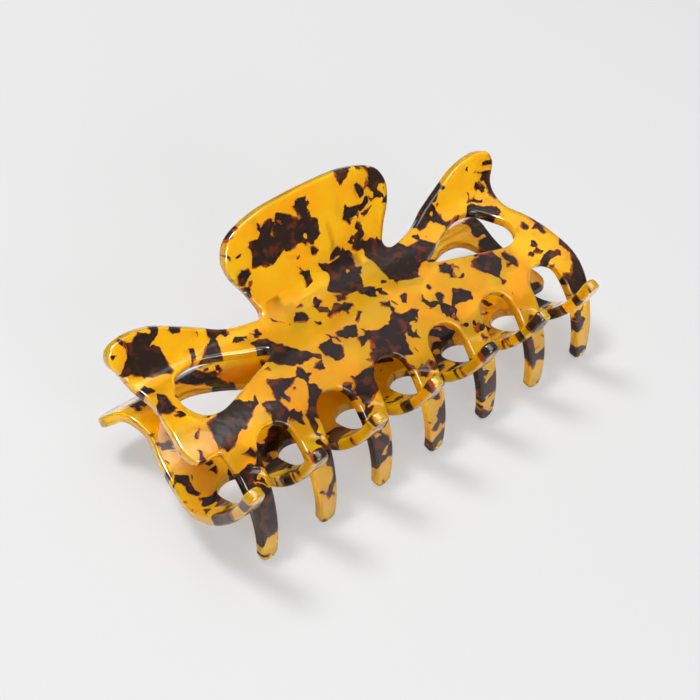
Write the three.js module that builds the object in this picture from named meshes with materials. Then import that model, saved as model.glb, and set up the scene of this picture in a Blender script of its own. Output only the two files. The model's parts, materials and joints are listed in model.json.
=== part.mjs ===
// Jumbo claw clip: two identical bent-sheet jaws that face each other, turned half a
// turn about the line from the teeth to the handles, so that their teeth interleave.
// Each jaw carries two lugs on its inner face. A steel pin runs through all four lugs,
// and a torsion spring coiled round the pin pushes the two handles apart.
//
// Every piece is drawn in the clip's own frame: x along the pin, y from the teeth to the
// handles, z from the bottom jaw to the top jaw, with the pin's axis through the origin.
// The finished clip is then tilted and lifted, so that it lies on the plane z = 0.
// Lengths are in millimetres and angles in degrees unless a name says otherwise.

import * as THREE from 'three';
import { mergeVertices } from 'three/addons/utils/BufferGeometryUtils.js';

// --- Driving dimensions --------------------------------------------------------------

const SHEET = 2.5; // thickness of the acetate sheet
const NECK_HEIGHT = 6.7; // outer face of the neck above the pin's axis
const HANDLE_BEND_RADIUS = 4.5; // outer face of the bend from the neck to the handle
const HANDLE_ANGLE = 52.5; // bend from the neck to the handle
const CLOSED_TURN = 2; // turn of each jaw about the pin that closes the teeth, from level necks
// The bends from the neck down to the tips of the teeth, as arcs of the outer face: the
// hollow behind the neck, the back, the shoulder, and the teeth down to their ends.
const BODY_BENDS = [
  { radius: -20.5, length: 6 },
  { radius: 33, length: 14 },
  { radius: 19.5, length: 16 },
  { radius: 32, length: Infinity },
];
const BEND_STEP = 7.5; // angle that one flat facet of a bend covers
const OUTLINE_SEGMENTS = 3; // straight pieces in each curve of a jaw's outline

const TOOTH_COUNT = 7;
const TOOTH_PITCH = 16;
const FIRST_TOOTH = -44; // middle of the tooth at the plain end
const TOOTH_ROOT_WIDTH = 6.8; // at the foot of the arches
const TOOTH_TIP_WIDTH = 4.2;
const ARCH_TOP = -22.3; // distance along the sheet from the middle of the valley
const ARCH_FOOT = -27;
const TOOTH_TIP = -52.3;

const PIN_RADIUS = 1;
const PIN_SEGMENTS = 20; // flats round the pin
const PIN_CLEARANCE = 0.2; // between the pin and the bore of a lug
const LUG_THICKNESS = 3;
const LUG_OUTER_MIDDLE = 13.2; // from the middle of the clip
const LUG_INNER_MIDDLE = 9.9;
const LUG_EYE_RADIUS = 3;
const LUG_SEGMENTS = 10; // straight pieces in each curve of a lug
const LUG_BASE = [-5.5, 3.5]; // stretch of the sheet that the foot covers
const BOND_GAP = 0.06; // glue line between a lug and the sheet
const END_PLAY = 0.3; // between the pin's heads and the outer lugs
const HEAD_RADIUS = 1.9;
const HEAD_HEIGHT = 1.2;
const HEAD_RIM = 0.4; // straight part of a head's side
const HEAD_CROWN = [1.2, 1]; // radius and height where the dome flattens

const WIRE_RADIUS = 0.6;
const COIL_RADIUS = 2.2; // middle of the wire
const COIL_TURNS = 8; // whole turns, besides the part turn that joins the two legs
const COIL_PITCH = 1.55;
const COIL_STEPS = 12; // points on one turn
const WIRE_SEGMENTS = 4; // straight pieces that three.js makes in the round section of the wire
const LEG_EXIT = 55; // where a leg leaves the coil, seen from the pin, past the handle's direction
// The centre line of one spring leg, as distances from the pin's axis along the handle and
// offsets from the axis towards its inner face, beside which the leg ends.
const LEG_LINE = [[2.7, 0.8], [4.6, -0.55], [6.4, -1.08], [11, -1.12], [16.5, -1.12]];

const COLOURS = { acetate: 0xd99a2b, steel: 0xb9bcc0 };

const radians = THREE.MathUtils.degToRad;

// --- The bent sheet ------------------------------------------------------------------

// A jaw is cut flat and then bent. u runs across the sheet, v along it: v is 0 at the
// lowest line of the neck, positive on the handle and negative on the body and teeth.
const HANDLE_START = HANDLE_BEND_RADIUS * radians(HANDLE_ANGLE);

// The point of the sheet's outer face at v, and its slope there, as [y, z, slope].
function bendAt(v) {
  if (v >= 0) {
    const slope = Math.min(v, HANDLE_START) / HANDLE_BEND_RADIUS;
    const straight = Math.max(v - HANDLE_START, 0);
    const y = HANDLE_BEND_RADIUS * Math.sin(slope) + straight * Math.cos(slope);
    const rise = HANDLE_BEND_RADIUS * (1 - Math.cos(slope)) + straight * Math.sin(slope);
    return [y, NECK_HEIGHT + rise, slope];
  }
  let [y, z, slope] = [0, NECK_HEIGHT, 0];
  let left = -v;
  for (const { radius, length } of BODY_BENDS) {
    const nextSlope = slope + Math.min(left, length) / radius;
    y += radius * (Math.sin(slope) - Math.sin(nextSlope));
    z += radius * (Math.cos(nextSlope) - Math.cos(slope));
    slope = nextSlope;
    left = Math.max(left - length, 0);
  }
  return [y, z, slope];
}

// A point of the sheet at a depth below its outer face, as [y, z].
function sheetPoint(v, depth) {
  const [y, z, slope] = bendAt(v);
  return [y + depth * Math.sin(slope), z - depth * Math.cos(slope)];
}

// The values of v where one facet of a bend ends and the next begins.
function bendLines(from, to) {
  const lines = [HANDLE_START];
  const bends = [{ radius: HANDLE_BEND_RADIUS, length: HANDLE_START }, ...BODY_BENDS];
  let start = HANDLE_START;
  for (const { radius, length } of bends) {
    const stretch = Math.min(length, start - TOOTH_TIP);
    const facets = Math.ceil(stretch / (Math.abs(radius) * radians(BEND_STEP)));
    for (let i = 1; i <= facets; i += 1) {
      lines.push(start - (stretch * i) / facets);
    }
    start -= stretch;
  }
  return lines.filter((v) => v > from && v < to).sort((a, b) => a - b);
}

// A loop without the repeat of its first point that some curves end on.
function withoutRepeat(loop) {
  return loop.at(-1).distanceTo(loop[0]) < 1e-6 ? loop.slice(0, -1) : loop;
}

// Adds a point to a closed loop wherever it crosses one of the lines.
function withCrossings(loop, lines) {
  return loop.flatMap((p, i) => {
    const q = loop[(i + 1) % loop.length];
    const crossed = lines.filter((level) => (p.y - level) * (q.y - level) < 0);
    const inOrder = p.y < q.y ? crossed : crossed.toReversed();
    const crossings = inOrder.map((level) => {
      const t = (level - p.y) / (q.y - p.y);
      return new THREE.Vector2(p.x + t * (q.x - p.x), level);
    });
    return [p, ...crossings];
  });
}

// The part of some loops on one side of a line, closed along the line. side is 1 for the
// part above it and -1 for the part below. Outlines run anticlockwise and holes clockwise,
// so a chain that ends on the line goes on to the next chain's start on that side.
function loopsOnSide(loops, level, side) {
  const isInside = (point) => side * (point.y - level) > 0;
  const result = loops.filter((loop) => loop.every(isInside));
  const chains = [];
  for (const loop of loops) {
    loop.forEach((point, i) => {
      if (point.y === level && isInside(loop[(i + 1) % loop.length])) {
        const chain = [point];
        let next = i + 1;
        while (isInside(loop[next % loop.length])) {
          chain.push(loop[next % loop.length]);
          next += 1;
        }
        chain.push(loop[next % loop.length]);
        chains.push(chain);
      }
    });
  }
  while (chains.length > 0) {
    const joined = chains.pop();
    for (;;) {
      const reach = (chain) => side * (chain[0].x - joined.at(-1).x);
      const ahead = [joined, ...chains].filter((chain) => reach(chain) > 0);
      const nearest = ahead.reduce((best, chain) => (reach(chain) < reach(best) ? chain : best));
      if (nearest === joined) {
        break;
      }
      joined.push(...nearest);
      chains.splice(chains.indexOf(nearest), 1);
    }
    result.push(joined);
  }
  return result;
}

// A flat plate of the shape, bent along the sheet's bend lines, as a closed solid. Each
// strip between two bend lines is filled by itself, so that it bends at its edges only.
function bentPlate(shape, curveSegments) {
  const { shape: contour, holes } = shape.extractPoints(curveSegments);
  const lines = bendLines(TOOTH_TIP, HANDLE_START + 1);
  const clockwise = (loop) => (THREE.ShapeUtils.isClockWise(loop) ? loop : loop.toReversed());
  const outline = clockwise(contour).toReversed();
  const loops = [outline, ...holes.map(clockwise)].map((loop) => withCrossings(withoutRepeat(loop), lines));

  const positions = [];
  const addTriangle = (...corners) => {
    for (const [point, depth] of corners) {
      positions.push(point.x, ...sheetPoint(point.y, depth));
    }
  };
  for (const loop of loops) {
    loop.forEach((p, i) => {
      const q = loop[(i + 1) % loop.length];
      addTriangle([p, SHEET], [q, SHEET], [q, 0]);
      addTriangle([p, SHEET], [q, 0], [p, 0]);
    });
  }
  let rest = loops;
  const strips = lines.map((level) => {
    const strip = loopsOnSide(rest, level, -1);
    rest = loopsOnSide(rest, level, 1);
    return strip;
  });
  for (const polygon of [...strips, rest].flat()) {
    for (const [a, b, c] of THREE.ShapeUtils.triangulateShape(polygon, [])) {
      addTriangle([polygon[a], 0], [polygon[b], 0], [polygon[c], 0]);
      addTriangle([polygon[a], SHEET], [polygon[c], SHEET], [polygon[b], SHEET]);
    }
  }
  const geometry = new THREE.BufferGeometry();
  geometry.setAttribute('position', new THREE.Float32BufferAttribute(positions, 3));
  const solid = mergeVertices(geometry, 1e-4);
  solid.computeVertexNormals();
  return solid;
}

// --- The jaw's outline on the flat sheet ---------------------------------------------

// The right half of the handle, from the middle of its top edge down to the neck.
const HANDLE_EDGE = [[0, 23.2], [12, 22.6], [20.2, 20], [23, 15.6], [22.3, 11], [19.9, 6.6], [18.1, 2.8]];
// A wing, from the neck along its upper edge, round its tip and down its outer edge.
const WING_EDGE = [[20.6, 0.9], [28.3, 2.6], [36.5, 6.8], [43.5, 10.2], [49.8, 11.2], [54.2, 10.1],
  [55.2, 7], [53, 2.4], [51.6, -4], [52.9, -10.4], [54.3, -17.5]];
const NECK_CORNER = [17.8, 0.5];
// A wing's window, from beside its point, along its upper edge, round and back.
const WINDOW_EDGE = [[27, -5.1], [33, -2.3], [39, -0.6], [44, -2], [46.9, -8], [45.6, -13],
  [41.5, -14.6], [34.5, -12.6], [27.5, -10.1]];
const WINDOW_POINT = [19.5, -7.6];
const LOBE_RADIUS = 3.2; // corner of the plain end, which has no tooth of its own
const TOOTH_FILLET = 1.5;
const FLUSH_TOOTH_EDGE = [[54.1, -46], [54.7, -37], [55.6, -26]]; // outer edge of the last tooth

const rightSide = (points) => points.map(([u, v]) => new THREE.Vector2(u, v));
const leftSide = (points) => points.map(([u, v]) => new THREE.Vector2(-u, v));

function windowHole(place) {
  const [start, ...rest] = place(WINDOW_EDGE);
  const [point] = place([WINDOW_POINT]);
  const hole = new THREE.Path();
  hole.moveTo(start.x, start.y);
  hole.splineThru(rest);
  hole.quadraticCurveTo(point.x, point.y, start.x, start.y);
  return hole;
}

// The teeth and the arches between them, from the plain end to the flush end. The last
// tooth stops at its tip, because its outer edge is the edge of the jaw.
function addTeeth(outline) {
  const tipRadius = TOOTH_TIP_WIDTH / 2;
  const archHalfWidth = (TOOTH_PITCH - TOOTH_ROOT_WIDTH) / 2;
  for (let i = 0; i < TOOTH_COUNT; i += 1) {
    const middle = FIRST_TOOTH + i * TOOTH_PITCH;
    outline.lineTo(middle - tipRadius, TOOTH_TIP + tipRadius);
    outline.absarc(middle, TOOTH_TIP + tipRadius, tipRadius, Math.PI, 2 * Math.PI, false);
    if (i < TOOTH_COUNT - 1) {
      const archMiddle = middle + TOOTH_PITCH / 2;
      outline.lineTo(middle + TOOTH_ROOT_WIDTH / 2, ARCH_FOOT);
      outline.absellipse(archMiddle, ARCH_FOOT, archHalfWidth, ARCH_TOP - ARCH_FOOT, Math.PI, 0, true);
    }
  }
}

// The whole outline, anticlockwise from the middle of the handle's top edge.
function jawOutline() {
  const outline = new THREE.Shape();
  const [wingStart, ...wingRest] = leftSide(WING_EDGE);
  outline.moveTo(...HANDLE_EDGE[0]);
  outline.splineThru(leftSide(HANDLE_EDGE.slice(1)));
  outline.quadraticCurveTo(-NECK_CORNER[0], NECK_CORNER[1], wingStart.x, wingStart.y);
  outline.splineThru(wingRest);

  const plainEdge = wingRest.at(-1).x;
  const firstRoot = FIRST_TOOTH - TOOTH_ROOT_WIDTH / 2;
  outline.quadraticCurveTo(plainEdge, ARCH_TOP, plainEdge + LOBE_RADIUS, ARCH_TOP);
  outline.lineTo(firstRoot - TOOTH_FILLET, ARCH_TOP);
  outline.quadraticCurveTo(firstRoot, ARCH_TOP, firstRoot, ARCH_TOP - TOOTH_FILLET);
  addTeeth(outline);

  const handleStart = HANDLE_EDGE.at(-1);
  outline.splineThru(rightSide([...FLUSH_TOOTH_EDGE, ...WING_EDGE.toReversed()]));
  outline.quadraticCurveTo(...NECK_CORNER, ...handleStart);
  outline.splineThru(rightSide(HANDLE_EDGE.toReversed().slice(1)));
  outline.holes.push(windowHole(leftSide), windowHole(rightSide));
  return outline;
}

const jawGeometry = () => bentPlate(jawOutline(), OUTLINE_SEGMENTS);

// --- Lugs, pin and spring ------------------------------------------------------------

// Turns a shape drawn as (y, z) and extruded along its third axis to run along x.
function alongX(geometry) {
  return geometry.applyMatrix4(new THREE.Matrix4().makeBasis(
    new THREE.Vector3(0, 1, 0),
    new THREE.Vector3(0, 0, 1),
    new THREE.Vector3(1, 0, 0),
  ));
}

// A lug's foot follows the bent inner face of the sheet, and its eye holds the pin.
function lugGeometry() {
  const [footStart, footEnd] = LUG_BASE;
  const footLines = [footStart, ...bendLines(footStart, footEnd), footEnd];
  const foot = footLines.map((v) => new THREE.Vector2(...sheetPoint(v, SHEET + BOND_GAP)));
  const shape = new THREE.Shape();
  shape.moveTo(LUG_EYE_RADIUS, 0);
  for (const point of foot.toReversed()) {
    shape.lineTo(point.x, point.y);
  }
  shape.lineTo(-LUG_EYE_RADIUS, 0);
  shape.absarc(0, 0, LUG_EYE_RADIUS, Math.PI, 2 * Math.PI, false);
  const bore = new THREE.Path();
  bore.absarc(0, 0, PIN_RADIUS + PIN_CLEARANCE, 0, 2 * Math.PI, true);
  shape.holes.push(bore);
  const flat = new THREE.ExtrudeGeometry(shape, {
    depth: LUG_THICKNESS,
    bevelEnabled: false,
    curveSegments: LUG_SEGMENTS,
  });
  return alongX(flat.translate(0, 0, -LUG_THICKNESS / 2));
}

// The pin is a straight rod with a domed head on each end.
function pinGeometry() {
  const shoulder = LUG_OUTER_MIDDLE + LUG_THICKNESS / 2 + END_PLAY;
  const [crownRadius, crownHeight] = HEAD_CROWN;
  const half = [
    [PIN_RADIUS, shoulder],
    [HEAD_RADIUS, shoulder],
    [HEAD_RADIUS, shoulder + HEAD_RIM],
    [crownRadius, shoulder + crownHeight],
    [0, shoulder + HEAD_HEIGHT],
  ];
  const profile = [...half.toReversed().map(([r, x]) => [r, -x]), ...half];
  const lathe = new THREE.LatheGeometry(profile.map(([r, x]) => new THREE.Vector2(r, x)), PIN_SEGMENTS);
  return lathe.rotateZ(-Math.PI / 2);
}

// The wire runs up one leg, round the coil and out along the other leg. It winds so that
// pressing the handles together tightens the coil.
function springGeometry() {
  const handle = radians(HANDLE_ANGLE + CLOSED_TURN);
  const halfLength = (COIL_TURNS * COIL_PITCH) / 2;
  const legPoints = (x, mirror) => LEG_LINE.map(([distance, offset]) => new THREE.Vector3(
    x,
    distance * Math.cos(handle) - offset * Math.sin(handle),
    mirror * (distance * Math.sin(handle) + offset * Math.cos(handle)),
  ));
  const exit = handle + radians(LEG_EXIT);
  const entry = 2 * Math.PI - exit;
  const sweep = 2 * Math.PI * COIL_TURNS + entry - exit;
  const steps = Math.round((sweep / (2 * Math.PI)) * COIL_STEPS);
  const coil = [];
  for (let i = 0; i <= steps; i += 1) {
    const angle = entry - (sweep * i) / steps;
    const x = halfLength * ((2 * i) / steps - 1);
    coil.push(new THREE.Vector3(x, COIL_RADIUS * Math.cos(angle), COIL_RADIUS * Math.sin(angle)));
  }
  const points = [...legPoints(-halfLength, -1).toReversed(), ...coil, ...legPoints(halfLength, 1)];
  const section = new THREE.Shape();
  section.absarc(0, 0, WIRE_RADIUS, 0, 2 * Math.PI, false);
  return new THREE.ExtrudeGeometry(section, {
    steps: points.length,
    extrudePath: new THREE.CatmullRomCurve3(points, false, 'centripetal'),
    curveSegments: WIRE_SEGMENTS,
  });
}

// --- The clip ------------------------------------------------------------------------

const acetate = () => new THREE.MeshStandardMaterial({ color: COLOURS.acetate, roughness: 0.15, metalness: 0 });
const steel = () => new THREE.MeshStandardMaterial({ color: COLOURS.steel, roughness: 0.3, metalness: 1 });

function namedMesh(name, geometry, material) {
  const mesh = new THREE.Mesh(geometry, material);
  mesh.name = name;
  return mesh;
}

// One jaw with its two lugs. The lugs stand at unequal distances from the middle, so that
// an outer lug of one jaw comes beside an inner lug of the other.
function halfClip(side) {
  const half = new THREE.Group();
  const outerLug = namedMesh(`${side}_outer_lug`, lugGeometry(), acetate());
  const innerLug = namedMesh(`${side}_inner_lug`, lugGeometry(), acetate());
  outerLug.position.x = -LUG_OUTER_MIDDLE;
  innerLug.position.x = LUG_INNER_MIDDLE;
  half.add(namedMesh(`${side}_jaw`, jawGeometry(), acetate()), outerLug, innerLug);
  return half;
}

// A point of a closed jaw's outer face, as seen along the pin.
function closedPoint(v) {
  return new THREE.Vector2(...sheetPoint(v, 0)).rotateAround(new THREE.Vector2(), radians(CLOSED_TURN));
}

// The clip lies on its top teeth and on the edge of its bottom handle. This is how far the
// plane between the jaws then rises from the teeth to the handles.
function lyingTilt() {
  const tip = closedPoint(TOOTH_TIP);
  const handleTop = closedPoint(HANDLE_EDGE[0][1]);
  return Math.atan2(tip.y + handleTop.y, handleTop.x - tip.x);
}

const clip = new THREE.Group();
const topHalf = halfClip('top');
const bottomHalf = halfClip('bottom');
topHalf.rotation.x = radians(CLOSED_TURN);
bottomHalf.rotation.set(-radians(CLOSED_TURN), Math.PI, 0);
clip.add(topHalf, bottomHalf);
clip.add(namedMesh('hinge_pin', pinGeometry(), steel()));
clip.add(namedMesh('torsion_spring', springGeometry(), steel()));
clip.rotation.x = lyingTilt();

// The origin is the middle of the clip's bounding box, on the plane it lies on.
const box = new THREE.Box3().setFromObject(clip, true);
const middle = box.getCenter(new THREE.Vector3());
clip.position.set(-middle.x, -middle.y, -box.min.z);

const clawClip = new THREE.Group();
clawClip.add(clip);

export default clawClip;
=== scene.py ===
"""Looks of the claw clip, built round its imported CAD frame.

The jaws are drawn again as finely meshed sheets with tumbled edges, on the same outline
and the same bends as in the CAD. Lengths are in millimetres until put() turns a mesh into
an object in metres, and the floor and lamps are in metres. A sheet is drawn flat first: u
runs across it, v along it from the teeth (negative) to the handle (positive), and depth
goes down from its outer face. An azimuth is in degrees, 0 in front of the clip (-Y) and
90 beyond its right end (+X).
"""

import json
import math

import bpy
import numpy as np
from mathutils import Matrix, Vector
from mathutils.geometry import delaunay_2d_cdt

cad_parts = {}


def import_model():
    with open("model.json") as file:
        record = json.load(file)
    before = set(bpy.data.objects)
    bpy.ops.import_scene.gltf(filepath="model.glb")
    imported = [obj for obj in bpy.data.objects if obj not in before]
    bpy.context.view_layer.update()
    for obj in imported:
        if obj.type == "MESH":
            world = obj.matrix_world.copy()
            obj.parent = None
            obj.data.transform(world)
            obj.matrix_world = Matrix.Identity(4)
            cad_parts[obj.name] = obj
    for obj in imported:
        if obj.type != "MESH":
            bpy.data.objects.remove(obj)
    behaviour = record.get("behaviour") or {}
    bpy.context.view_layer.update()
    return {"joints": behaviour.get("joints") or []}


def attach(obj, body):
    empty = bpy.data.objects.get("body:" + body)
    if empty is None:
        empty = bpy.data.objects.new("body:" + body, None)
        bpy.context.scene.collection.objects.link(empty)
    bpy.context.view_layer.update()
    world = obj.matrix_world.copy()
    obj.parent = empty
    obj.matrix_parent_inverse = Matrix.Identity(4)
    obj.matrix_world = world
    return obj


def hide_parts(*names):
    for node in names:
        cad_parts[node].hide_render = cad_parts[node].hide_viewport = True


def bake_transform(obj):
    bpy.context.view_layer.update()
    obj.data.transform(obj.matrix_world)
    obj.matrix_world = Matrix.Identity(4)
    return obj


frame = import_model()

# --- Dimensions shared with the CAD --------------------------------------------------

MM = 0.001
SHEET = 2.5
NECK_HEIGHT = 6.7
HANDLE_BEND_RADIUS = 4.5
HANDLE_ANGLE = math.radians(52.5)
CLOSED_TURN = math.radians(2)
BODY_BENDS = [(-20.5, 6), (33, 14), (19.5, 16), (32, 1000)]  # radius and length of each arc
HANDLE_START = HANDLE_BEND_RADIUS * HANDLE_ANGLE

TOOTH_COUNT = 7
TOOTH_PITCH = 16
FIRST_TOOTH = -44
TOOTH_ROOT_WIDTH = 6.8
TOOTH_TIP_WIDTH = 4.2
ARCH_TOP = -22.3
ARCH_FOOT = -27
TOOTH_TIP = -52.3

HANDLE_EDGE = [(0, 23.2), (12, 22.6), (20.2, 20), (23, 15.6), (22.3, 11), (19.9, 6.6), (18.1, 2.8)]
WING_EDGE = [(20.6, 0.9), (28.3, 2.6), (36.5, 6.8), (43.5, 10.2), (49.8, 11.2), (54.2, 10.1),
             (55.2, 7), (53, 2.4), (51.6, -4), (52.9, -10.4), (54.3, -17.5)]
NECK_CORNER = (17.8, 0.5)
WINDOW_EDGE = [(27, -5.1), (33, -2.3), (39, -0.6), (44, -2), (46.9, -8), (45.6, -13),
               (41.5, -14.6), (34.5, -12.6), (27.5, -10.1)]
WINDOW_POINT = (19.5, -7.6)
LOBE_RADIUS = 3.2
TOOTH_FILLET = 1.5
FLUSH_TOOTH_EDGE = [(54.1, -46), (54.7, -37), (55.6, -26)]

PIN_RADIUS = 1
PIN_CLEARANCE = 0.2
LUG_THICKNESS = 3
LUG_OUTER_MIDDLE = 13.2
LUG_INNER_MIDDLE = 9.9
LUG_EYE_RADIUS = 3
LUG_BASE = (-5.5, 3.5)  # the values of v between which a lug's foot follows the sheet
LUG_CORNER_REACH = 1.5
BOND_GAP = 0.06  # a glue line that hardly shows, where the CAD keeps 0.3 clear
END_PLAY = 0.3
HEAD_RADIUS = 1.9
HEAD_HEIGHT = 1.2
HEAD_RIM = 0.5  # the height of the head at its edge, below the dome
HEAD_CHAMFER = 0.15

WIRE_RADIUS = 0.6
COIL_RADIUS = 2.2
COIL_TURNS = 8
COIL_PITCH = 1.55
LEG_EXIT = math.radians(55)
LEG_LINE = [(2.7, 0.8), (4.6, -0.55), (6.4, -1.08), (11, -1.12), (16.5, -1.12)]

# --- How finely the visual meshes are cut --------------------------------------------

EDGE_STEP = 0.45  # along an outline
FACE_STEP = 1.4  # across the inside of a sheet
BEND_STEP = math.radians(3.5)
RIM_INSET = 0.7  # how far the tumbled edge reaches in from the outline
RIM_DROP = 0.7  # and how far it reaches down from the face
RIM_ROWS = 6
GRID_CLEARANCE = 0.7 * EDGE_STEP  # between an outline and the points inside it
LUG_EDGE_STEP = 0.2
LUG_ROUNDING = 0.2
LUG_FOOT_POINTS = 31
LUG_CORNER_POINTS = 6  # of the foot's points, how many a rounded corner replaces at each end
BORE_STEPS = 40
PIN_SIDES = 40
DOME_STEPS = 7
WIRE_SIDES = 14
WIRE_END_SHARES = (0.35, 0.7, 0.92)  # of the wire's radius, at the rings of its rounded end
COIL_STEPS_PER_TURN = 12

# --- Acetate and steel ---------------------------------------------------------------

# A cell of this size is clear while its chance is below low, and a flake above high.
LARGE_FLAKE = {"size": 5.6, "low": 0.65, "high": 0.66}
SMALL_FLAKE = {"size": 2.3, "low": 0.865, "high": 0.875}
FLAKE_SQUEEZE = (1, 1, 0.22)  # slow change with depth carries a flake through the sheet
JAW_PATTERN_SHIFT = {"top": (100, 0, 0), "bottom": (300, 40, 0)}
LUG_PATTERN_SHIFT = {"top": (0, 0, 200), "bottom": (0, 0, 300)}

DEEP_AMBER = (1.0, 0.45, 0.002, 1)
PALE_AMBER = (1.0, 0.54, 0.005, 1)
THIN_FLAKE = (0.15, 0.028, 0.006, 1)
BLACK_FLAKE = (0.011, 0.007, 0.006, 1)
BROWN_FLAKE = (0.055, 0.012, 0.006, 1)
FLAKE_FROM_INSIDE = (0.7, 0.25, 0.003, 1)
CLEAR_TRANSMISSION = 0.77
FLAKE_TRANSMISSION = 0.12
FLAKE_TRANSMISSION_FROM_INSIDE = 0.9

DARK_STEEL = (0.50, 0.51, 0.52, 1)
PALE_STEEL = (0.66, 0.66, 0.66, 1)
STEEL_ROUGHNESS = (0.18, 0.34)

# --- Studio and camera ---------------------------------------------------------------

FLOOR_HALF_SIZE = 3.0
FLOOR_SEEN = (0.15, 0.15, 0.15, 1)
FLOOR_GLOW = 0.425  # added where the camera sees the floor, so that shadows stay light
FLOOR_LIT = (0.75, 0.75, 0.75, 1)  # to the light that it scatters on to the clip
FLOOR_MIRRORED = (0.3, 0.3, 0.3, 1)
# painted shade: the floor's colour far off, where less light would reach it
FLOOR_FAR_SHADE = (0.05, 0.05, 0.05, 1)
FLOOR_FADE = (0.15, 0.5)  # between these distances a painted shade darkens it, except to the camera

WALLS = (0.12, 0.12, 0.125, 1)
PANEL = (0.42, 0.42, 0.43, 1)
PANEL_START = 40.0
PANEL_END = 131.0
PANEL_RISE = (0.2, 0.5)
OVERHEAD = (4.8, 4.8, 4.8, 1)
OVERHEAD_RISE = (0.88, 0.95)  # like PANEL_RISE, the heights on a unit sphere where it starts
BACKDROP = (0.82, 0.82, 0.82, 1)

CAMERA_AZIMUTH = -45.74
CAMERA_ELEVATION = 44.9
CAMERA_ROLL = 5.69
CAMERA_DISTANCE = 333.0
CAMERA_LENS = 78.05
SENSOR_WIDTH = 36
CLIP_MIDDLE = (0, 0, 23.0)
CAMERA_SHIFT = (1.2, 5.94)  # how far right of and above the picture's middle the clip's middle is

HINGE = frame["joints"][0]["pos_m"]


# --- Curves --------------------------------------------------------------------------

def spline_through(points, steps=10):
    """A smooth curve through some points, by the same rule as three.js's SplineCurve."""
    p = np.array(points, float)
    padded = np.vstack([p[:1], p, p[-1:]])
    t = np.linspace(0, 1, steps, endpoint=False)[:, None]
    pieces = []
    for before, start, end, after in zip(padded, padded[1:], padded[2:], padded[3:]):
        leave = (end - before) / 2
        arrive = (after - start) / 2
        cubic = 2 * (start - end) + leave + arrive
        square = 3 * (end - start) - 2 * leave - arrive
        pieces.append(((cubic * t + square) * t + leave) * t + start)
    return np.vstack(pieces + [p[-1:]])


def quadratic(start, control, end, steps=16):
    t = np.linspace(0, 1, steps + 1)[:, None]
    start, control, end = np.array(start), np.array(control), np.array(end)
    return start * (1 - t) ** 2 + 2 * control * t * (1 - t) + end * t**2


def ellipse(centre, radii, start, end, steps=24):
    angle = np.linspace(start, end, steps + 1)
    return np.stack([centre[0] + radii[0] * np.cos(angle), centre[1] + radii[1] * np.sin(angle)], 1)


def closed_loop(pieces, step=EDGE_STEP):
    """One closed loop of evenly spaced points along some pieces of outline."""
    line = np.vstack(pieces)
    line = np.vstack([line, line[:1]])
    length = np.linalg.norm(np.diff(line, axis=0), axis=1)
    line = line[np.append(True, length > 1e-6)]
    travelled = np.append(0, np.cumsum(np.linalg.norm(np.diff(line, axis=0), axis=1)))
    count = round(travelled[-1] / step)
    places = np.linspace(0, travelled[-1], count, endpoint=False)
    return np.stack([np.interp(places, travelled, line[:, k]) for k in (0, 1)], 1)


def mirrored(points):
    return [(-u, v) for u, v in points]


# --- The flat outline of a jaw -------------------------------------------------------

def window_loop(side):
    edge = [(side * u, v) for u, v in WINDOW_EDGE]
    point = (side * WINDOW_POINT[0], WINDOW_POINT[1])
    loop = closed_loop([spline_through(edge), quadratic(edge[-1], point, edge[0])])
    return loop[::-1] if side < 0 else loop


def teeth_line():
    """The teeth and the arches between them, from the plain end to the flush end."""
    tip_radius = TOOTH_TIP_WIDTH / 2
    half_arch = (TOOTH_PITCH - TOOTH_ROOT_WIDTH) / 2
    pieces = []
    for i in range(TOOTH_COUNT):
        middle = FIRST_TOOTH + i * TOOTH_PITCH
        tip = (middle, TOOTH_TIP + tip_radius)
        pieces.append(ellipse(tip, (tip_radius, tip_radius), math.pi, 2 * math.pi))
        if i < TOOTH_COUNT - 1:
            arch = (middle + TOOTH_PITCH / 2, ARCH_FOOT)
            pieces.append(ellipse(arch, (half_arch, ARCH_TOP - ARCH_FOOT), math.pi, 0))
    return pieces


def jaw_loops():
    """The jaw's outline, anticlockwise, and its two windows, clockwise."""
    left_wing = mirrored(WING_EDGE)
    left_handle = mirrored(HANDLE_EDGE)
    plain_edge = left_wing[-1][0]
    first_root = FIRST_TOOTH - TOOTH_ROOT_WIDTH / 2
    last_tooth = FIRST_TOOTH + (TOOTH_COUNT - 1) * TOOTH_PITCH
    tip_radius = TOOTH_TIP_WIDTH / 2
    flush = spline_through([(last_tooth + tip_radius, TOOTH_TIP + tip_radius)]
                           + FLUSH_TOOTH_EDGE + WING_EDGE[::-1])
    outline = closed_loop([
        spline_through(left_handle),
        quadratic(left_handle[-1], (-NECK_CORNER[0], NECK_CORNER[1]), left_wing[0]),
        spline_through(left_wing),
        quadratic(left_wing[-1], (plain_edge, ARCH_TOP), (plain_edge + LOBE_RADIUS, ARCH_TOP)),
        quadratic((first_root - TOOTH_FILLET, ARCH_TOP), (first_root, ARCH_TOP),
                  (first_root, ARCH_TOP - TOOTH_FILLET)),
        *teeth_line(),
        flush,
        quadratic(WING_EDGE[0], NECK_CORNER, HANDLE_EDGE[-1]),
        spline_through(HANDLE_EDGE[::-1]),
    ])
    return [outline, window_loop(1), window_loop(-1)]


# --- The bends of a jaw --------------------------------------------------------------

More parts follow.
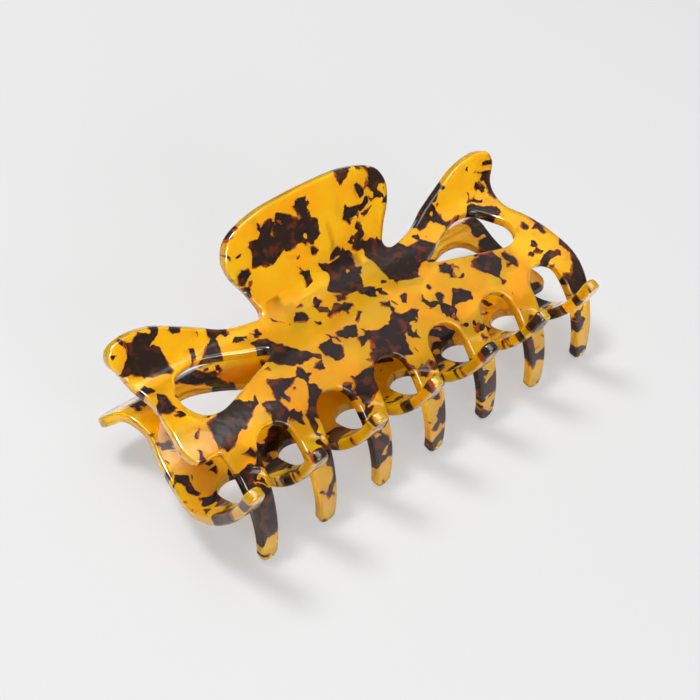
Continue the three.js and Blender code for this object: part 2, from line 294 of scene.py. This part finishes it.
def bend_at(v):
    """The outer face's y, z and slope at each v."""
    v = np.asarray(v, float)
    slope = np.clip(v, 0, HANDLE_START) / HANDLE_BEND_RADIUS
    straight = np.clip(v - HANDLE_START, 0, None)
    y = HANDLE_BEND_RADIUS * np.sin(slope) + straight * np.cos(slope)
    z = NECK_HEIGHT + HANDLE_BEND_RADIUS * (1 - np.cos(slope)) + straight * np.sin(slope)
    left = np.clip(-v, 0, None)
    for radius, length in BODY_BENDS:
        after = slope + np.minimum(left, length) / radius
        y = y + radius * (np.sin(slope) - np.sin(after))
        z = z + radius * (np.cos(after) - np.cos(slope))
        slope = after
        left = np.clip(left - length, 0, None)
    return y, z, slope


def bent(flat, normals):
    """Flat points (u, v, depth) and their normals, bent like a jaw."""
    u, v, depth = flat.T
    y, z, slope = bend_at(v)
    points = np.stack([u, y + depth * np.sin(slope), z - depth * np.cos(slope)], 1)
    nu, nv, nout = normals.T
    turned_v = nv * np.cos(slope) - nout * np.sin(slope)
    turned_out = nv * np.sin(slope) + nout * np.cos(slope)
    return points, np.stack([nu, turned_v, turned_out], 1)


def bend_lines(low, high):
    """Values of v to put mesh lines on, close together where the sheet bends tightly."""
    lines = []
    start = HANDLE_START
    for radius, length in [(HANDLE_BEND_RADIUS, HANDLE_START)] + BODY_BENDS:
        stretch = min(length, start - low)
        step = min(FACE_STEP, abs(radius) * BEND_STEP)
        lines += list(np.linspace(start, start - stretch, math.ceil(stretch / step), endpoint=False))
        start -= stretch
    straight = np.arange(HANDLE_START + FACE_STEP, high, FACE_STEP)
    return lines + list(straight)


# --- A plate with rounded edges ------------------------------------------------------

def inward(loop):
    """Unit normals to the left of a loop, which is the side the material is on."""
    along = np.roll(loop, -1, 0) - np.roll(loop, 1, 0)
    along /= np.linalg.norm(along, axis=1)[:, None]
    return np.stack([-along[:, 1], along[:, 0]], 1)


def is_inside(points, loops):
    """Which points lie inside the outline and outside the holes."""
    inside = np.zeros(len(points), bool)
    for loop in loops:
        for p, q in zip(loop, np.roll(loop, -1, 0)):
            spans = (p[1] > points[:, 1]) != (q[1] > points[:, 1])
            if p[1] != q[1]:
                reach = (q[0] - p[0]) * (points[:, 1] - p[1]) / (q[1] - p[1]) + p[0]
                inside ^= spans & (points[:, 0] < reach)
    return inside


def filled(loops, lines):
    """Triangles between some loops, with a grid of extra points on the lines."""
    edge = np.vstack(loops)
    low, high = edge.min(0), edge.max(0)
    grid = []
    for i, v in enumerate(lines):
        start = low[0] + FACE_STEP * (0.5 if i % 2 else 0)
        grid += [(u, v) for u in np.arange(start, high[0], FACE_STEP)]
    grid = np.array(grid).reshape(-1, 2)
    grid = grid[is_inside(grid, loops)]
    near = np.array([((edge - p) ** 2).sum(1).min() for p in grid]).reshape(-1)
    grid = grid[near > GRID_CLEARANCE**2]
    points = np.vstack([edge, grid])
    rims = []
    start = 0
    for loop in loops:
        rims += [(start + i, start + (i + 1) % len(loop)) for i in range(len(loop))]
        start += len(loop)
    _, _, faces, origins, _, _ = delaunay_2d_cdt([Vector(p) for p in points], rims, [], 0, 1e-6)
    source = [o[0] for o in origins]
    faces = np.array([[source[k] for k in face] for face in faces])
    return grid, faces[is_inside(points[faces].mean(1), loops)]


def rounded_plate(loops, thickness, inset, drop, lines):
    """A plate as flat points (u, v, depth), their normals and its faces.

    Its edge is rounded from each face by a quarter of an ellipse."""
    turn = np.linspace(0, math.pi / 2, RIM_ROWS)
    insets = inset * (1 - np.cos(turn))
    depths = drop * (1 - np.sin(turn))
    out_share, up_share = np.cos(turn) * drop, np.sin(turn) * inset
    scale = np.hypot(out_share, up_share)
    rows = [(insets[k], depths[k], out_share[k] / scale[k], up_share[k] / scale[k])
            for k in reversed(range(RIM_ROWS))]
    rows += [(d, thickness - e, a, -b) for d, e, a, b in reversed(rows)]

    points, normals, faces, first_rows, last_rows = [], [], [], [], []
    start = 0
    for loop in loops:
        left = inward(loop)
        count = len(loop)
        for d, depth, out, up in rows:
            points.append(np.column_stack([loop + d * left, np.full(count, depth)]))
            normals.append(np.column_stack([-out * left, np.full(count, up)]))
        for row in range(len(rows) - 1):
            here = start + row * count + np.arange(count)
            ahead = start + row * count + (np.arange(count) + 1) % count
            faces += np.column_stack([here, here + count, ahead + count, ahead]).tolist()
        first_rows.append(start + np.arange(count))
        last_rows.append(start + (len(rows) - 1) * count + np.arange(count))
        start += len(rows) * count

    inner = [loop + inset * inward(loop) for loop in loops]
    grid, triangles = filled(inner, lines)
    for rim, depth, up, flip in ((first_rows, 0, 1, False), (last_rows, thickness, -1, True)):
        index = np.append(np.concatenate(rim), start + np.arange(len(grid)))
        points.append(np.column_stack([grid, np.full(len(grid), depth)]))
        normals.append(np.tile([0, 0, up], (len(grid), 1)))
        start += len(grid)
        corners = index[triangles]
        faces += (corners[:, ::-1] if flip else corners).tolist()
    return np.vstack(points), np.vstack(normals).astype(float), faces


# --- Turning meshes into objects -----------------------------------------------------

def lying_tilt():
    """How far the plane between the jaws rises from the teeth to the handles."""
    y, z, _ = bend_at([TOOTH_TIP, HANDLE_EDGE[0][1]])
    turned_y = y * math.cos(CLOSED_TURN) - z * math.sin(CLOSED_TURN)
    turned_z = y * math.sin(CLOSED_TURN) + z * math.cos(CLOSED_TURN)
    return math.atan2(turned_z.sum(), turned_y[1] - turned_y[0])


# From the clip's own frame, in millimetres with the pin's axis through the origin, to the
# row frame in metres.
TO_ROW = Matrix.Translation(HINGE) @ Matrix.Rotation(lying_tilt(), 4, "X") @ Matrix.Scale(MM, 4)
SIDE_TURNS = {
    "top": Matrix.Rotation(CLOSED_TURN, 4, "X"),
    "bottom": Matrix.Rotation(-CLOSED_TURN, 4, "X") @ Matrix.Rotation(math.pi, 4, "Y"),
}


def put(name, points, normals, faces, matrix, material, pattern=None):
    """Makes an object in the row frame, with smooth normals and a place in its pattern."""
    mesh = bpy.data.meshes.new(name)
    mesh.from_pydata(points.tolist(), [], faces)
    if pattern is not None:
        attribute = mesh.attributes.new("sheet_place", "FLOAT_VECTOR", "POINT")
        attribute.data.foreach_set("vector", pattern.astype(np.float32).ravel())
    mesh.transform(TO_ROW @ matrix)
    mesh.shade_smooth()
    if normals is not None:
        rotation = (TO_ROW @ matrix).to_3x3().normalized()
        turned = normals @ np.array(rotation).T
        mesh.normals_split_custom_set_from_vertices(turned.tolist())
    mesh.materials.append(material)
    piece = bpy.data.objects.new(name, mesh)
    bpy.context.scene.collection.objects.link(piece)
    return piece


# --- Materials -----------------------------------------------------------------------

def feed(tree, socket, value):
    """Gives an input a value, or links it to another node's output."""
    if isinstance(value, bpy.types.NodeSocket):
        tree.links.new(value, socket)
    else:
        socket.default_value = value


def feed_all(tree, target, values):
    """Feeds a node's inputs, from a dictionary of their names or numbers."""
    for key, value in values.items():
        feed(tree, target.inputs[key], value)


def node(tree, kind, values=None, **settings):
    new = tree.nodes.new("ShaderNode" + kind)
    for key, value in settings.items():
        setattr(new, key, value)
    feed_all(tree, new, values or {})
    return new


def maths(tree, operation, a, b):
    return node(tree, "Math", {0: a, 1: b}, operation=operation).outputs[0]


def vectors(tree, operation, a, b):
    return node(tree, "VectorMath", {0: a, 1: b}, operation=operation).outputs[0]


def noise(tree, place, scale, detail):
    return node(tree, "TexNoise", {"Vector": place, "Scale": scale, "Detail": detail}).outputs["Fac"]


def between(tree, value, low, high):
    """Rises smoothly from 0 to 1 as value goes from low to high."""
    values = {"Value": value, "From Min": low, "From Max": high}
    return node(tree, "MapRange", values, interpolation_type="SMOOTHSTEP").outputs["Result"]


def mixed(tree, share, a, b, kind="RGBA"):
    """Goes from colour or number a to b with share."""
    new = node(tree, "Mix", data_type=kind)
    sockets = [s for s in new.inputs if s.enabled]
    for socket, value in zip(sockets, (share, a, b)):
        feed(tree, socket, value)
    return next(s for s in new.outputs if s.enabled)


def material_tree(name):
    material = bpy.data.materials.new(name)
    material.use_nodes = True
    tree = material.node_tree
    tree.nodes.clear()
    shader = node(tree, "BsdfPrincipled")
    node(tree, "OutputMaterial", {"Surface": shader.outputs[0]})
    return material, tree, shader


def warped(tree, place, scale, reach, detail):
    """The place moved about by noise, so that what is drawn there has ragged edges."""
    values = {"Vector": place, "Scale": scale, "Detail": detail, "Roughness": 0.6}
    centred = vectors(tree, "SUBTRACT", node(tree, "TexNoise", values).outputs["Color"], (0.5, 0.5, 0.5))
    shift = node(tree, "VectorMath", {0: centred, "Scale": reach}, operation="SCALE").outputs[0]
    return vectors(tree, "ADD", place, shift)


def chance_at(tree, place, size):
    """A random number for the ragged cell of the given size that a place is in."""
    cells = node(tree, "TexVoronoi", {"Vector": place, "Scale": 1 / size})
    return node(tree, "SeparateColor", {"Color": cells.outputs["Color"]}).outputs[0]


def flakes_at(tree, place, cluster, flake):
    chance = maths(tree, "ADD", chance_at(tree, place, flake["size"]), cluster)
    return between(tree, chance, flake["low"], flake["high"])


def darkness_at(tree, place, cluster):
    """1 inside a dark flake and 0 outside. cluster is noise that gathers the flakes."""
    large = flakes_at(tree, place, cluster, LARGE_FLAKE)
    small = flakes_at(tree, place, cluster, SMALL_FLAKE)
    return maths(tree, "MAXIMUM", large, small)


def tortoiseshell():
    """Clear golden acetate with ragged dark flakes, mottled brown and reddish where they thin out.

    A flake's side is slanted, so its edge is drawn twice, a little apart, and only the
    part that lies in both is quite dark. Seen from inside the sheet a flake is light, so
    that those on the far face don't show through the clear parts."""
    material, tree, shader = material_tree("tortoiseshell_acetate")
    place = node(tree, "Attribute", attribute_name="sheet_place").outputs["Vector"]
    flat = vectors(tree, "MULTIPLY", place, FLAKE_SQUEEZE)
    gather = maths(tree, "SUBTRACT", noise(tree, flat, scale=0.11, detail=2.0), 0.5)
    cluster = maths(tree, "MULTIPLY", gather, 0.9)
    drifted = warped(tree, flat, scale=0.16, reach=2.6, detail=1.0)
    ragged = warped(tree, drifted, scale=0.75, reach=1.3, detail=5.0)
    slant = vectors(tree, "SUBTRACT", warped(tree, flat, scale=0.15, reach=1.9, detail=1.0), flat)
    first = darkness_at(tree, ragged, cluster)
    second = darkness_at(tree, vectors(tree, "ADD", ragged, slant), cluster)
    core = maths(tree, "MULTIPLY", first, second)
    fringe = maths(tree, "MAXIMUM", first, second)

    cloud = between(tree, noise(tree, flat, scale=0.12, detail=3.0), 0.35, 0.65)
    clear = mixed(tree, cloud, DEEP_AMBER, PALE_AMBER)
    thin = mixed(tree, fringe, clear, THIN_FLAKE)
    inside = node(tree, "NewGeometry").outputs["Backfacing"]
    mottle = between(tree, noise(tree, ragged, scale=0.35, detail=3.0), 0.5, 0.68)
    dark = mixed(tree, inside, mixed(tree, mottle, BLACK_FLAKE, BROWN_FLAKE), FLAKE_FROM_INSIDE)
    colour = mixed(tree, core, thin, dark)

    in_flake = mixed(tree, inside, FLAKE_TRANSMISSION, FLAKE_TRANSMISSION_FROM_INSIDE, "FLOAT")
    through = mixed(tree, fringe, CLEAR_TRANSMISSION, in_flake, "FLOAT")
    wave = noise(tree, flat, scale=0.25, detail=2.0)
    bump = node(tree, "Bump", {"Height": wave, "Strength": 0.12, "Distance": 0.0006}).outputs[0]
    feed_all(tree, shader, {
        "Base Color": colour, "Roughness": 0.1, "IOR": 1.46, "Transmission Weight": through,
        "Subsurface Weight": 1.0, "Subsurface Radius": (1.0, 0.7, 0.05), "Subsurface Scale": 0.006,
        "Specular IOR Level": 0.1, "Coat Weight": 1.0, "Coat IOR": 1.42, "Coat Roughness": 0.03,
        "Coat Normal": bump, "Normal": bump,
    })
    return material


def steel():
    """Drawn steel wire, finely mottled in shade and polish."""
    material, tree, shader = material_tree("bright_steel")
    place = node(tree, "TexCoord").outputs["Object"]
    grain = noise(tree, place, scale=2500.0, detail=3.0)
    feed_all(tree, shader, {
        "Base Color": mixed(tree, grain, DARK_STEEL, PALE_STEEL),
        "Metallic": 1.0,
        "Roughness": mixed(tree, grain, *STEEL_ROUGHNESS, "FLOAT"),
        "Normal": node(tree, "Bump", {"Height": grain, "Strength": 0.1, "Distance": 0.00003}).outputs[0],
    })
    return material


# --- The pieces ----------------------------------------------------------------------

def jaw(side, material):
    lines = bend_lines(TOOTH_TIP, HANDLE_EDGE[0][1])
    flat, flat_normals, faces = rounded_plate(jaw_loops(), SHEET, RIM_INSET, RIM_DROP, lines)
    points, normals = bent(flat, flat_normals)
    pattern = flat + JAW_PATTERN_SHIFT[side]
    piece = put(side + "_jaw_sheet", points, normals, faces, SIDE_TURNS[side], material, pattern)
    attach(piece, side + "_body")
    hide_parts(side + "_jaw")


def rounded_corner(before, corner, after):
    """The bend that rounds a corner, from a place short of it to a place past it."""
    before, corner, after = (np.array(p, float) for p in (before, corner, after))
    start, end = (corner + (p - corner) * LUG_CORNER_REACH / np.linalg.norm(p - corner)
                  for p in (before, after))
    return quadratic(start, corner, end)


def lug_loops():
    """A lug's outline and its bore, drawn as (y, z)."""
    v = np.linspace(LUG_BASE[1], LUG_BASE[0], LUG_FOOT_POINTS)
    y, z, slope = bend_at(v)
    depth = SHEET + BOND_GAP
    foot = np.stack([y + depth * np.sin(slope), z - depth * np.cos(slope)], 1)
    right, left = (LUG_EYE_RADIUS, 0), (-LUG_EYE_RADIUS, 0)
    eye = ellipse((0, 0), (LUG_EYE_RADIUS, LUG_EYE_RADIUS), math.pi, 2 * math.pi)
    bore = PIN_RADIUS + PIN_CLEARANCE
    n = LUG_CORNER_POINTS
    outline = [rounded_corner(right, foot[0], foot[n - 1]), foot[n:-n],
               rounded_corner(foot[-n], foot[-1], left), eye]
    hole = [ellipse((0, 0), (bore, bore), 2 * math.pi, 0, BORE_STEPS)[:-1]]
    return [closed_loop(outline, LUG_EDGE_STEP), closed_loop(hole, LUG_EDGE_STEP)]


def lug(side, name, middle, material):
    flat, flat_normals, faces = rounded_plate(lug_loops(), LUG_THICKNESS, LUG_ROUNDING, LUG_ROUNDING, [])
    along_x = np.array([[0, 1, 0], [0, 0, 1], [1, 0, 0]], float)  # the axes that y, z and depth go to
    flat_x = flat * [1, 1, -1] + [0, 0, middle + LUG_THICKNESS / 2]
    points = flat_x @ along_x
    normals = flat_normals @ along_x
    pattern = points + LUG_PATTERN_SHIFT[side]
    piece = put(f"{side}_{name}_lug_block", points, normals, faces, SIDE_TURNS[side], material, pattern)
    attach(piece, side + "_body")
    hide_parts(f"{side}_{name}_lug")


def ring_faces(ring_count, sides):
    """The faces round a row of rings of points, with one more face to close each end."""
    faces = []
    for ring in range(ring_count - 1):
        for k in range(sides):
            here, ahead = ring * sides + k, ring * sides + (k + 1) % sides
            faces.append([here, ahead, ahead + sides, here + sides])
    faces.append(list(range(sides))[::-1])
    faces.append([(ring_count - 1) * sides + k for k in range(sides)])
    return faces


def wire_along(line):
    """A closed round wire along a line of points, with rounded ends, as points and faces."""
    line = np.array(line)
    along = np.gradient(line, axis=0)
    along /= np.linalg.norm(along, axis=1)[:, None]
    side = np.cross(along[0], (0.3, 0.8, 0.5))  # across the wire: any direction will do
    angle = np.linspace(0, 2 * math.pi, WIRE_SIDES, endpoint=False)[:, None]
    rings = []
    for point, direction in zip(line, along):
        side = side - direction * side.dot(direction)
        side /= np.linalg.norm(side)
        other = np.cross(direction, side)
        rings.append((point, np.cos(angle) * side + np.sin(angle) * other, direction))
    rows = []
    for share in WIRE_END_SHARES:
        point, circle, direction = rings[0]
        rows.append(point + WIRE_RADIUS * (share * circle - direction * (1 - share)))
    rows += [point + WIRE_RADIUS * circle for point, circle, _ in rings]
    for share in WIRE_END_SHARES[::-1]:
        point, circle, direction = rings[-1]
        rows.append(point + WIRE_RADIUS * (share * circle + direction * (1 - share)))
    return np.vstack(rows), ring_faces(len(rows), WIRE_SIDES)


def hinge_pin(material):
    shoulder = LUG_OUTER_MIDDLE + LUG_THICKNESS / 2 + END_PLAY
    dome = [(HEAD_RADIUS * math.cos(t), shoulder + HEAD_RIM + (HEAD_HEIGHT - HEAD_RIM) * math.sin(t))
            for t in np.linspace(0, math.pi / 2, DOME_STEPS)[:-1]]
    half = [(PIN_RADIUS, 0), (PIN_RADIUS, shoulder), (HEAD_RADIUS - HEAD_CHAMFER, shoulder),
            (HEAD_RADIUS, shoulder + HEAD_CHAMFER)] + dome
    profile = [(r, -x) for r, x in half[::-1]] + half[1:]
    angle = np.linspace(0, 2 * math.pi, PIN_SIDES, endpoint=False)
    points = np.vstack([np.stack([np.full(PIN_SIDES, x), r * np.cos(angle), r * np.sin(angle)], 1)
                        for r, x in profile])
    faces = ring_faces(len(profile), PIN_SIDES)
    piece = put("hinge_pin_rod", points, None, faces, Matrix.Identity(4), material)
    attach(piece, "bottom_body")
    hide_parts("hinge_pin")


def torsion_spring(material):
    """The wire runs up the bottom leg, round the coil and out along the top leg."""
    handle = HANDLE_ANGLE + CLOSED_TURN
    half_length = COIL_TURNS * COIL_PITCH / 2
    run, rise = math.cos(handle), math.sin(handle)

    def leg(x, up):
        return [(x, d * run - o * rise, up * (d * rise + o * run)) for d, o in LEG_LINE]

    leave = handle + LEG_EXIT
    enter = 2 * math.pi - leave
    sweep = 2 * math.pi * COIL_TURNS + enter - leave
    steps = round(sweep / (2 * math.pi) * COIL_STEPS_PER_TURN)
    share = np.linspace(0, 1, steps + 1)
    angle = enter - sweep * share
    along_pin = half_length * (2 * share - 1)
    coil = np.stack([along_pin, COIL_RADIUS * np.cos(angle), COIL_RADIUS * np.sin(angle)], 1)
    line = leg(-half_length, -1)[::-1] + coil.tolist() + leg(half_length, 1)
    points, faces = wire_along(spline_through(line, steps=4))
    piece = put("torsion_spring_wire", points, None, faces, Matrix.Identity(4), material)
    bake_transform(piece)
    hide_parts("torsion_spring")


# --- Floor, light and camera ---------------------------------------------------------

def direction_to(azimuth, elevation):
    a, e = math.radians(azimuth), math.radians(elevation)
    return Vector((math.sin(a) * math.cos(e), -math.cos(a) * math.cos(e), math.sin(e)))


def paper():
    """Pale paper that glows a little to the camera, so that the shadows on it stay light.

    To every other ray it darkens with distance, painted shade like the falling light on the floor of a small
    studio."""
    material, tree, shader = material_tree("floor_paper")
    place = node(tree, "TexCoord").outputs["Object"]
    reach = node(tree, "VectorMath", {0: place}, operation="LENGTH").outputs["Value"]
    path = node(tree, "LightPath").outputs
    seen = path["Is Camera Ray"]
    # painted shade, growing with distance, to every ray but the camera's
    dim = maths(tree, "MULTIPLY", between(tree, reach, *FLOOR_FADE), maths(tree, "SUBTRACT", 1.0, seen))
    bounced = mixed(tree, path["Is Glossy Ray"], FLOOR_LIT, FLOOR_MIRRORED)
    near = mixed(tree, seen, bounced, FLOOR_SEEN)
    feed_all(tree, shader, {
        "Base Color": mixed(tree, dim, near, FLOOR_FAR_SHADE),
        "Emission Color": (1, 1, 1, 1),
        "Emission Strength": maths(tree, "MULTIPLY", seen, FLOOR_GLOW),
        "Roughness": 0.9,
        "Specular IOR Level": 0.1,
    })
    return material


def floor():
    mesh = bpy.data.meshes.new("floor")
    corners = [(x * FLOOR_HALF_SIZE, y * FLOOR_HALF_SIZE, 0) for x, y in ((-1, -1), (1, -1), (1, 1), (-1, 1))]
    mesh.from_pydata(corners, [], [(0, 1, 2, 3)])
    mesh.materials.append(paper())
    piece = bpy.data.objects.new("floor", mesh)
    bpy.context.scene.collection.objects.link(piece)


def area_light(name, azimuth, elevation, distance, size, power):
    away = direction_to(azimuth, elevation)
    lamp = bpy.data.lights.new(name, "AREA")
    lamp.shape = "RECTANGLE"
    lamp.size, lamp.size_y = size
    lamp.energy = power
    thing = bpy.data.objects.new(name, lamp)
    turn = away.to_track_quat("Z", "Y").to_matrix().to_4x4()
    thing.matrix_world = Matrix.Translation(away * distance) @ turn
    bpy.context.scene.collection.objects.link(thing)


def world():
    """A bright patch overhead, dim walls, and one pale panel beyond the clip's right end.

    The panel's edge at PANEL_END is upright and crisp, so the bent sheet mirrors it as a
    line. The camera itself sees a plain backdrop instead."""
    new = bpy.data.worlds.new("studio")
    bpy.context.scene.world = new
    new.use_nodes = True
    tree = new.node_tree
    tree.nodes.clear()
    direction = node(tree, "TexCoord").outputs["Generated"]
    height = node(tree, "SeparateXYZ", {0: direction}).outputs["Z"]

    def side(azimuth):
        """Above 0 on one side of the upright plane at an azimuth, below 0 on the other."""
        a = math.radians(azimuth)
        across = (math.cos(a), math.sin(a), 0)
        values = {0: direction, 1: across}
        return node(tree, "VectorMath", values, operation="DOT_PRODUCT").outputs["Value"]

    after_start = between(tree, side(PANEL_START), -0.1, 0.3)
    before_end = maths(tree, "SUBTRACT", 1.0, between(tree, side(PANEL_END), -0.02, 0.02))
    in_width = maths(tree, "MULTIPLY", after_start, before_end)
    panel = maths(tree, "MULTIPLY", in_width, between(tree, height, *PANEL_RISE))
    around = mixed(tree, panel, WALLS, PANEL)
    studio = mixed(tree, between(tree, height, *OVERHEAD_RISE), around, OVERHEAD)
    seen = node(tree, "LightPath").outputs["Is Camera Ray"]
    colour = mixed(tree, seen, studio, BACKDROP)
    background = node(tree, "Background", {"Color": colour, "Strength": 1.0})
    node(tree, "OutputWorld", {"Surface": background.outputs[0]})


def camera():
    a, r = math.radians(CAMERA_AZIMUTH), math.radians(CAMERA_ROLL)
    back = direction_to(CAMERA_AZIMUTH, CAMERA_ELEVATION)
    level = Vector((math.cos(a), math.sin(a), 0))
    upright = back.cross(level)
    right = level * math.cos(r) + upright * math.sin(r)
    up = upright * math.cos(r) - level * math.sin(r)
    aim = Vector(CLIP_MIDDLE) - CAMERA_SHIFT[0] * right - CAMERA_SHIFT[1] * up
    data = bpy.data.cameras.new("camera")
    data.lens = CAMERA_LENS
    data.sensor_width = SENSOR_WIDTH
    thing = bpy.data.objects.new("camera", data)
    turn = Matrix((right, up, back)).transposed().to_4x4()
    thing.matrix_world = Matrix.Translation((aim + CAMERA_DISTANCE * back) * MM) @ turn
    bpy.context.scene.collection.objects.link(thing)
    bpy.context.scene.camera = thing


acetate = tortoiseshell()
wire = steel()
for side in ("top", "bottom"):
    jaw(side, acetate)
for side in ("top", "bottom"):
    lug(side, "outer", -LUG_OUTER_MIDDLE, acetate)
    lug(side, "inner", LUG_INNER_MIDDLE, acetate)
hinge_pin(wire)
torsion_spring(wire)

floor()
world()
area_light("key", azimuth=-135, elevation=68, distance=0.9, size=(0.2, 0.2), power=12.5)
area_light("fill", azimuth=-15, elevation=25, distance=0.9, size=(0.5, 0.3), power=8.0)
camera()
bpy.context.scene.view_settings.view_transform = "Standard"
